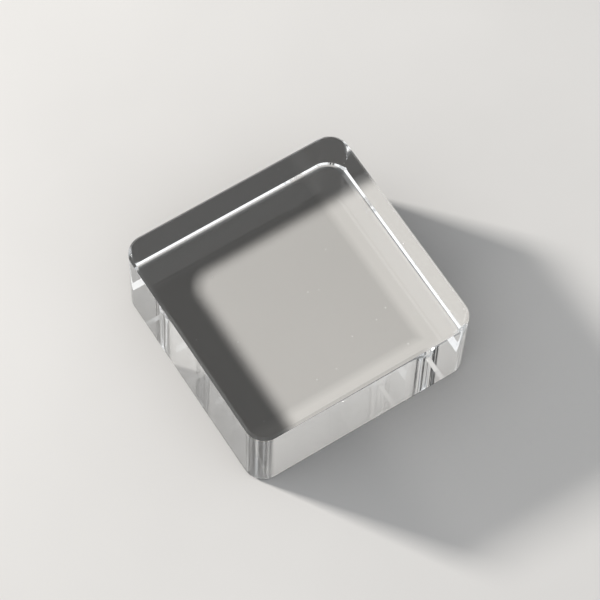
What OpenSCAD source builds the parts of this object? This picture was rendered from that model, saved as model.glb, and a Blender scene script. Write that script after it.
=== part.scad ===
// Solid display block of clear acrylic: one square slab cut from thick cast sheet, with rounded
// upright corners and a polished bevel round its top and bottom edges.
// Origin: centre of the underside. +Z is up, towards the display face.

/* [Block] */
// Side length of the square block
side = 50; // [20:1:150]
// Height of the block, which is the thickness of the sheet that it is cut from
height = 20; // [8:1:60]
// Radius of the four upright corners
corner_r = 4.2; // [2:0.1:8]

/* [Edges] */
// Width of the bevel round the top edge, measured along each face
top_bevel = 0.5; // [0.2:0.05:1.5]
// Width of the bevel round the bottom edge, measured along each face
base_bevel = 0.75; // [0.2:0.05:1.5]

/* [Hidden] */

// Fineness of the corner rounds
$fn = 64;
// Length of the flat stretch of each side, between its two corner rounds
flat_len = side - 2 * corner_r;
// Distance from the block's centre line to the axis of each corner round, along X and along Y
corner_at = flat_len / 2;
// Clear acrylic with a faint cool tint
acrylic_colour = [0.88, 0.94, 0.95, 0.35];

// Upright section from a centre line out to a wall that is reach away, bevelled top and bottom
module half_section(reach) {
    polygon([
        [0, 0],
        [reach - base_bevel, 0],
        [reach, base_bevel],
        [reach, height - top_bevel],
        [reach - top_bevel, height],
        [0, height]
    ]);
}

// Bar right across the block that gives two opposite sides their flat stretches
module cross_bar() {
    rotate([90, 0, 0])
        linear_extrude(height = flat_len, center = true) {
            half_section(side / 2);
            mirror([1, 0])
                half_section(side / 2);
        }
}

// Round post that fills one corner and carries both bevels round it as cones
module corner_post() {
    rotate_extrude()
        half_section(corner_r);
}

// The whole block: two crossed bars and four corner posts, as one piece of acrylic
module acrylic_block() {
    color(acrylic_colour)
        union() {
            for (turn = [0, 90])
                rotate([0, 0, turn])
                    cross_bar();
            for (x = [-corner_at, corner_at], y = [-corner_at, corner_at])
                translate([x, y, 0])
                    corner_post();
        }
}

acrylic_block();
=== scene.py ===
from math import cos, pi, radians, sin

import bmesh
import bpy
from mathutils import Matrix, Vector


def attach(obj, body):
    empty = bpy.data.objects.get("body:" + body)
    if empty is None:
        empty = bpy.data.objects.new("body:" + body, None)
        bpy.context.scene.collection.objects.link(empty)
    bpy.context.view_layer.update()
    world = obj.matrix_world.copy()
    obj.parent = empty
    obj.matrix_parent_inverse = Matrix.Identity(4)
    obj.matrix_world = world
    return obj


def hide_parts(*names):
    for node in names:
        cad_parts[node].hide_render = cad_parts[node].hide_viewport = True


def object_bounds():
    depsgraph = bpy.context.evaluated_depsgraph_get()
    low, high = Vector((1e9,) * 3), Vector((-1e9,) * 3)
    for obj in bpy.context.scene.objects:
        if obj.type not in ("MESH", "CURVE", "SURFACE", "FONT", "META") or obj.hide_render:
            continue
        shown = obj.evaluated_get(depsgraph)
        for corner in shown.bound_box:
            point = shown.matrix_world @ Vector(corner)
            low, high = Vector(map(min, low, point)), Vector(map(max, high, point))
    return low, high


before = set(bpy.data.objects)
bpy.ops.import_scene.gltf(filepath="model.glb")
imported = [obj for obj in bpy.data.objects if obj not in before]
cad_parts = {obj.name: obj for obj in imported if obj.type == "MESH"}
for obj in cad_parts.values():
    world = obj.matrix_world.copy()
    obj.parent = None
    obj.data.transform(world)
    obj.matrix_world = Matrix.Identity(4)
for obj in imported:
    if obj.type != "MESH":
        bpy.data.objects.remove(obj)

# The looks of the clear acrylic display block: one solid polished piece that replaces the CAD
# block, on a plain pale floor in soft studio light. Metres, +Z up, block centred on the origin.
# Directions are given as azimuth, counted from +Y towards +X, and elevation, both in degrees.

CAD_LOW, CAD_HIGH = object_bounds()
SIDE = CAD_HIGH.x - CAD_LOW.x
HEIGHT = CAD_HIGH.z - CAD_LOW.z

MM = 0.001
CORNER_R = 0.084 * SIDE
CORNER_AT = SIDE / 2 - CORNER_R  # how far the axis of each corner round is from the middle, each way
TOP_BEVEL = 0.01 * SIDE
BASE_BEVEL = 0.015 * SIDE
EDGE_SOFTNESS = 0.06 * MM  # radius left on each polished edge by buffing
REST_GAP = 0.03 * MM  # air left under the block, so that its underside shows as a polished face

ACRYLIC_IOR = 1.49
ACRYLIC_TINT = (0.985, 0.995, 0.995, 1)
SMEAR_HAZE, MARK_HAZE, SPECK_HAZE = 0.02, 0.12, 0.8  # roughness of smears, scratches and dust
BEVEL_HAZE = (0.02, 0.12)  # least and most roughness along the bevels
CORNER_HAZE = (0.04, 0.18)  # roughness of the corner rounds, at +X +Y and at -X -Y

FLOOR_TONES = (0.72, 0.76)  # darkest and lightest tone of the floor
FLOOR_TINT = (1, 0.985, 0.965)  # share of that tone in its red, green and blue
FLOOR_REACH = 1.5  # from the middle to each edge
PAINTED_LIGHT_BAND = 7.5 * MM  # width of the band along the two walls that throw light back down, where the floor colour is painted lighter as painted light
PAINTED_LIGHT_SHARE = 0.28  # how much lighter that painted light makes the floor colour there

# The main light is too shallow to reach the floor under a real block straight on. It gets there
# bent down by the acrylic, so a second lamp lights that patch of the floor, and only that.
KEY_FROM, KEY_POWER = (-37, 25), 12.5  # power in watts
BENT_FROM, BENT_POWER = (-53, 56), 8.8
KEY_DISTANCE, KEY_SIZE, KEY_COLOUR = 1.0, 0.12, (1, 0.97, 0.93)
OPEN_PASSES, SHUT_PASSES = 0.97, 0.1  # share of lamp light that an open or a shut face passes

# Soft panels that only the block shows, in its sides, bevels and corners
SOFTBOX_DISTANCE = 0.8
SOFTBOXES = (  # name, azimuth, elevation, width, height, brightness
    ("front", 160, 21, 0.45, 0.2, 0.5),
    ("corner", 212, 27, 0.85, 0.13, 0.45),
    ("left_corner", 235, 14, 0.85, 0.17, 0.5),
    ("left", 292, 14, 0.5, 0.14, 0.5),
    ("over_left", -35.4, 64, 0.3, 0.3, 1.2),
    ("over_front", 144.7, 64, 0.3, 0.3, 0.3),
)

SURROUNDINGS_TINT = (0.96, 0.98, 1, 1)
BRIGHT_SIDE = (228, 18)  # direction in which the surroundings are brightest
DIM, BRIGHT = 0.2, 0.7  # their brightness on the far side from there, and there


# ---------------------------------------------------------------- shape

def corner_arc(centre, radius, quarter, steps):
    """Points and outward directions of one quarter round of the block's outline."""
    for i in range(steps + 1):
        angle = (quarter + i / steps) * pi / 2
        out = Vector((cos(angle), sin(angle), 0))
        yield centre + radius * out, out


def outline(inset, z, steps=24):
    """The rounded square at height z, drawn in by inset, with each point's outward direction."""
    for quarter, (sx, sy) in enumerate(((1, 1), (-1, 1), (-1, -1), (1, -1))):
        centre = Vector((sx * CORNER_AT, sy * CORNER_AT, z))
        yield from corner_arc(centre, CORNER_R - inset, quarter, steps)


def edge_round(inset, z, tilt_from, tilt_to, steps=3):
    """Section points that round off one edge: (inset, z, tilt), where tilt is the slope of the
    surface's normal above the horizontal. The edge lies at (inset, z) before rounding."""
    half = (tilt_to - tilt_from) / 2
    middle = (tilt_to + tilt_from) / 2
    to_centre = EDGE_SOFTNESS / cos(half)
    centre_inset = inset + to_centre * cos(middle)
    centre_z = z - to_centre * sin(middle)
    for i in range(steps + 1):
        tilt = tilt_from + (tilt_to - tilt_from) * i / steps
        yield centre_inset - EDGE_SOFTNESS * cos(tilt), centre_z + EDGE_SOFTNESS * sin(tilt), tilt


def wall_section():
    """The block's section from the rim of the underside, up the wall, to the rim of the top."""
    flat, bevel = pi / 2, pi / 4
    yield from edge_round(BASE_BEVEL, REST_GAP, -flat, -bevel)
    yield from edge_round(0, BASE_BEVEL, -bevel, 0)
    yield from edge_round(0, HEIGHT - TOP_BEVEL, 0, bevel)
    yield from edge_round(TOP_BEVEL, HEIGHT, bevel, flat)


def link(name, data):
    """A new object with this data, in the scene."""
    obj = bpy.data.objects.new(name, data)
    bpy.context.scene.collection.objects.link(obj)
    return obj


def block_mesh():
    """The block as one closed mesh, with each vertex's true normal kept, so that flats stay flat."""
    bm = bmesh.new()
    rings, normals = [], []
    for inset, z, tilt in wall_section():
        ring = []
        for point, out in outline(inset, z):
            ring.append(bm.verts.new(point))
            normals.append(out * cos(tilt) + Vector((0, 0, sin(tilt))))
        rings.append(ring)
    for lower, upper in zip(rings, rings[1:]):
        for i, corner in enumerate(lower):
            after = (i + 1) % len(lower)
            bm.faces.new((corner, lower[after], upper[after], upper[i]))
    bm.faces.new(reversed(rings[0]))
    bm.faces.new(rings[-1])
    for face in bm.faces:
        face.smooth = True
    mesh = bpy.data.meshes.new("acrylic_block")
    bm.to_mesh(mesh)
    bm.free()
    mesh.normals_split_custom_set_from_vertices(normals)
    return mesh


# ---------------------------------------------------------------- node helpers

def new_material(name):
    """A node material and its Principled shader."""
    material = bpy.data.materials.new(name)
    material.use_nodes = True
    return material, material.node_tree.nodes["Principled BSDF"]


def feed(tree, socket, value):
    """Gives a socket either another node's output or a plain value."""
    if isinstance(value, bpy.types.NodeSocket):
        tree.links.new(value, socket)
    else:
        socket.default_value = value


def node(tree, kind, settings=(), **inputs):
    """A new shader node with these settings and inputs. Each _ in an input's name stands for a
    space."""
    made = tree.nodes.new("ShaderNode" + kind)
    for name, value in dict(settings).items():
        setattr(made, name, value)
    for name, value in inputs.items():
        feed(tree, made.inputs[name.replace("_", " ")], value)
    return made


def maths(tree, operation, first, second=0.0):
    """The output of one maths node."""
    made = node(tree, "Math", {"operation": operation})
    feed(tree, made.inputs[0], first)
    feed(tree, made.inputs[1], second)
    return made.outputs["Value"]


def product(tree, first, *others):
    """The output of a chain of multiplications."""
    for other in others:
        first = maths(tree, "MULTIPLY", first, other)
    return first


def ramp(tree, value, start, end, low=0.0, high=1.0):
    """low up to start, high from end on, and a straight climb between them."""
    climb = node(tree, "MapRange", Value=value, From_Min=start, From_Max=end, To_Min=low, To_Max=high)
    return climb.outputs["Result"]


def noise(tree, place, size, detail=2.0):
    """Smooth noise whose blotches are about size metres across."""
    return node(tree, "TexNoise", Vector=place, Scale=1 / size, Detail=detail).outputs["Fac"]


def bump(tree, height, distance, **inputs):
    """The normal of a surface that height raises by up to this distance."""
    made = node(tree, "Bump", Height=height, Distance=distance, Strength=1.0, **inputs)
    return made.outputs["Normal"]


def split(tree, vector):
    """The X, Y and Z outputs of a vector."""
    return node(tree, "SeparateXYZ", Vector=vector).outputs


# ---------------------------------------------------------------- acrylic

def hairlines(tree, place, turn, length, share):
    """Fine straight scratches that run at this turn about +Z, in scattered groups that are more
    common as share rises. The value is 1 in the middle of a scratch."""
    width = 0.2 * MM
    lean = (0.4, 0.3)  # keeps the scratches from lining up with the block's faces
    stretched = node(tree, "Mapping", Vector=place, Rotation=(*lean, radians(turn)),
                     Scale=(1 / length, 1 / width, 1 / length))
    streaks = noise(tree, stretched.outputs["Vector"], 1.0, 0.0)
    groups = noise(tree, place, 2.5 * length, 0.0)
    return product(tree, ramp(tree, streaks, 0.78, 0.84), ramp(tree, groups, 0.6 - share, 0.7 - share))


def dust(tree, place, upright):
    """Specks of dust, of mixed sizes, that lie on the level top."""
    spacing = 2.2 * MM
    cells = node(tree, "TexVoronoi", Vector=place, Scale=1 / spacing)
    pick = node(tree, "SeparateColor", Color=cells.outputs["Color"])
    radius = ramp(tree, pick.outputs["Red"], 0.5, 1.0, 0.0, 0.09)  # as a share of the spacing
    speck = maths(tree, "LESS_THAN", cells.outputs["Distance"], radius)
    return product(tree, speck, maths(tree, "GREATER_THAN", upright, 0.99))


def on_bevels(tree, level):
    """1 where the surface slants as a bevel does. level is 1 on level faces and 0 on walls."""
    off_slant = maths(tree, "ABSOLUTE", maths(tree, "SUBTRACT", level, 0.7))
    return ramp(tree, off_slant, 0.2, 0.1)


def wear_haze(tree, place, spot, bevel, inward, marks, specks):
    """Roughness from smears, from the milled corner rounds and bevels, and from marks and specks."""
    smears = ramp(tree, noise(tree, place, 9 * MM), 0.45, 0.75)
    corner = ramp(tree, inward, CORNER_AT, CORNER_AT + 0.6 * MM)
    across = maths(tree, "ADD", spot["X"], spot["Y"])
    uneven = ramp(tree, across, SIDE / 2, -SIDE / 2, *CORNER_HAZE)
    patchy = ramp(tree, noise(tree, place, 0.4 * MM), 0.5, 0.75, *BEVEL_HAZE)
    haze = product(tree, smears, SMEAR_HAZE)
    haze = maths(tree, "ADD", haze, product(tree, corner, uneven))
    haze = maths(tree, "ADD", haze, product(tree, bevel, patchy))
    haze = maths(tree, "MAXIMUM", haze, product(tree, marks, MARK_HAZE))
    return maths(tree, "MAXIMUM", haze, product(tree, specks, SPECK_HAZE))


def open_faces(tree, spot, facing, level, bevel, inward):
    """1 on the faces that lamps shine straight through: the top, the underside, and the lower part
    of the straight base bevel on the +X side, where the bent light comes out."""
    outward = maths(tree, "GREATER_THAN", facing["X"], 0.5)
    straight = maths(tree, "LESS_THAN", inward, CORNER_AT)
    low_part = maths(tree, "LESS_THAN", spot["Z"], 0.42 * BASE_BEVEL)
    way_out = product(tree, bevel, outward, straight, low_part)
    return maths(tree, "MAXIMUM", ramp(tree, level, 0.9, 0.95), way_out)


def let_lamps_through(material, shader, open_share):
    """Lamps shine straight in and out through the open faces, and only faintly through the others,
    as they do in a thick block, where light that meets a wall mostly stays inside."""
    tree = material.node_tree
    passed = ramp(tree, open_share, 0.0, 1.0, SHUT_PASSES, OPEN_PASSES)
    clear = node(tree, "BsdfTransparent", Color=passed)
    path = node(tree, "LightPath")
    mix = node(tree, "MixShader", Fac=path.outputs["Is Shadow Ray"])
    tree.links.new(shader.outputs["BSDF"], mix.inputs[1])
    tree.links.new(clear.outputs["BSDF"], mix.inputs[2])
    tree.links.new(mix.outputs["Shader"], tree.nodes["Material Output"].inputs["Surface"])


def acrylic():
    """Water-clear polished acrylic: true flat faces with barely any waviness, a trace of haze on the
    corner rounds and the bevels, fine handling scratches, faint smears and a little dust on top."""
    material, shader = new_material("clear_acrylic")
    tree = material.node_tree
    place = node(tree, "TexCoord").outputs["Object"]
    spot = split(tree, place)
    facing = split(tree, node(tree, "NewGeometry").outputs["True Normal"])
    level = maths(tree, "ABSOLUTE", facing["Z"])
    bevel = on_bevels(tree, level)
    # Distance from the nearer of the X and Y axes, which passes CORNER_AT only at the corners
    inward = maths(tree, "MINIMUM", maths(tree, "ABSOLUTE", spot["X"]), maths(tree, "ABSOLUTE", spot["Y"]))
    short_marks = hairlines(tree, place, 20, 5 * MM, 0.02)
    long_marks = hairlines(tree, place, -65, 9 * MM, 0.0)
    marks = maths(tree, "MAXIMUM", short_marks, long_marks)
    specks = dust(tree, place, facing["Z"])
    waves = bump(tree, noise(tree, place, 14 * MM, 0.0), 0.005 * MM)
    grooves = bump(tree, maths(tree, "SUBTRACT", specks, marks), 0.001 * MM, Normal=waves)

    shader.inputs["Base Color"].default_value = ACRYLIC_TINT
    shader.inputs["IOR"].default_value = ACRYLIC_IOR
    shader.inputs["Transmission Weight"].default_value = 1.0
    feed(tree, shader.inputs["Roughness"], wear_haze(tree, place, spot, bevel, inward, marks, specks))
    feed(tree, shader.inputs["Normal"], grooves)
    feed(tree, shader.inputs["Sheen Weight"], specks)
    let_lamps_through(material, shader, open_faces(tree, spot, facing, level, bevel, inward))
    return material


# ---------------------------------------------------------------- floor

def pale_floor(name, painted_light):
    """Smooth matt pale floor, with a faint uneven tone and a fine tooth. Along the two walls of the block
    that the main light reaches from inside, its colour is painted lighter by the given share, as painted
    light in place of the light those walls throw back down."""
    material, shader = new_material(name)
    tree = material.node_tree
    place = node(tree, "TexCoord").outputs["Object"]
    spot = split(tree, place)
    outermost = maths(tree, "MAXIMUM", spot["X"], product(tree, spot["Y"], -1))
    band_edge = SIDE / 2 - PAINTED_LIGHT_BAND
    # Painted light: the floor colour is made lighter along the two walls, standing in for the light they
    # throw back down
    painted_gain = ramp(tree, outermost, band_edge - MM, band_edge + MM, 1, 1 + painted_light)
    tone = product(tree, ramp(tree, noise(tree, place, 60 * MM, 4.0), 0.3, 0.7, *FLOOR_TONES), painted_gain)
    red, green, blue = (product(tree, tone, share) for share in FLOOR_TINT)
    paint = node(tree, "CombineColor", Red=red, Green=green, Blue=blue)
    feed(tree, shader.inputs["Base Color"], paint.outputs["Color"])
    feed(tree, shader.inputs["Normal"], bump(tree, noise(tree, place, 0.6 * MM), 0.01 * MM))
    shader.inputs["Roughness"].default_value = 0.8
    shader.inputs["Specular IOR Level"].default_value = 0.15
    return material


def build_floor():
    """The floor, and a patch of it under the block that the bent light reaches. The patch lies in
    the gap under the block and stops short of the wall, under the base bevel. Returns the patch."""
    corners = [(x * FLOOR_REACH, y * FLOOR_REACH, 0) for x, y in ((-1, -1), (1, -1), (1, 1), (-1, 1))]
    footprint = [tuple(point) for point, out in outline(BASE_BEVEL * 0.4, REST_GAP / 3)]
    # Only the patch under the block gets the painted light band along its two walls; the main floor gets
    # none
    parts = (("floor", corners, 0.0), ("floor_under_block", footprint, PAINTED_LIGHT_SHARE))
    made = []
    for name, points, painted_light in parts:
        mesh = bpy.data.meshes.new(name)
        mesh.from_pydata(points, [], [range(len(points))])
        mesh.materials.append(pale_floor(name, painted_light))
        made.append(link(name, mesh))
    return made[-1]


# ---------------------------------------------------------------- block, lights and camera

def build_block():
    """The polished block, in place of the plain CAD one."""
    block = link("acrylic_block_polished", block_mesh())
    block.data.materials.append(acrylic())
    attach(block, "root")
    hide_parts("acrylic_block")
    return block


def direction(azimuth, elevation):
    """Unit vector from the block towards a place seen in this direction."""
    a, e = radians(azimuth), radians(elevation)
    return Vector((sin(a) * cos(e), cos(a) * cos(e), sin(e)))


def panel(name, towards, distance, width, height, power, tint=(1, 1, 1)):
    """A soft rectangular light that faces the block."""
    data = bpy.data.lights.new(name, "AREA")
    data.shape = "RECTANGLE"
    data.size = width
    data.size_y = height
    data.energy = power
    data.color = tint
    light = link(name, data)
    light.location = towards * distance
    light.rotation_euler = towards.to_track_quat("Z", "Y").to_euler()
    return light


def lights_only(light, obj, leave_out=False):
    """The light reaches only this object, or everything but it."""
    group = bpy.data.collections.new(light.name)
    group.objects.link(obj)
    light.light_linking.receiver_collection = group
    state = "EXCLUDE" if leave_out else "INCLUDE"
    group.collection_objects[0].light_linking.link_state = state


def studio_world():
    """Soft surroundings, brighter on one side than on the other."""
    world = bpy.data.worlds.new("studio")
    world.use_nodes = True
    tree = world.node_tree
    background = tree.nodes["Background"]
    place = node(tree, "TexCoord").outputs["Generated"]
    alignment = node(tree, "VectorMath", {"operation": "DOT_PRODUCT"}, Vector=place)
    alignment.inputs[1].default_value = direction(*BRIGHT_SIDE)
    strength = node(tree, "MapRange", {"interpolation_type": "SMOOTHSTEP"},
                    Value=alignment.outputs["Value"], From_Min=-0.5, From_Max=0.5,
                    To_Min=DIM, To_Max=BRIGHT)
    background.inputs["Color"].default_value = SURROUNDINGS_TINT
    feed(tree, background.inputs["Strength"], strength.outputs["Result"])
    bpy.context.scene.world = world


def build_lights(block, under_block):
    """The surroundings, the main light and its bent light, and the panels that the block shows."""
    studio_world()
    lamp = (KEY_DISTANCE, KEY_SIZE, KEY_SIZE)
    key = panel("key", direction(*KEY_FROM), *lamp, KEY_POWER, KEY_COLOUR)
    lights_only(key, under_block, leave_out=True)
    bent = panel("key_bent", direction(*BENT_FROM), *lamp, BENT_POWER, KEY_COLOUR)
    lights_only(bent, under_block)
    for name, azimuth, elevation, width, height, brightness in SOFTBOXES:
        power = brightness * pi * width * height
        light = panel(name, direction(azimuth, elevation), SOFTBOX_DISTANCE, width, height, power)
        lights_only(light, block)


def build_camera():
    """The camera, at the height, heading and slight roll that the block is seen with."""
    heading, down, roll = radians(35.41), radians(63.68), radians(3.17)
    distance = 10.42 * SIDE
    aim = Vector((0.0245 * SIDE, 0.0158 * SIDE, HEIGHT / 2))
    forward = Vector((sin(heading) * cos(down), cos(heading) * cos(down), -sin(down)))
    level = forward.cross(Vector((0, 0, 1))).normalized()
    upright = level.cross(forward)
    right = level * cos(roll) + upright * sin(roll)
    up = upright * cos(roll) - level * sin(roll)
    data = bpy.data.cameras.new("camera")
    data.lens = 159.1
    data.sensor_width = 36
    camera = link("camera", data)
    pose = Matrix((right, up, -forward)).transposed().to_4x4()
    pose.translation = aim - forward * distance
    camera.matrix_world = pose
    bpy.context.scene.camera = camera


def set_light_paths():
    """Plain colours, and enough bounces for light that zigzags inside the block."""
    scene = bpy.context.scene
    scene.view_settings.view_transform = "Standard"
    scene.cycles.max_bounces = 24
    scene.cycles.transmission_bounces = 24
    scene.cycles.glossy_bounces = 12
    scene.cycles.caustics_refractive = False
    scene.cycles.caustics_reflective = False


build_camera()
block = build_block()
under_block = build_floor()
build_lights(block, under_block)
set_light_paths()
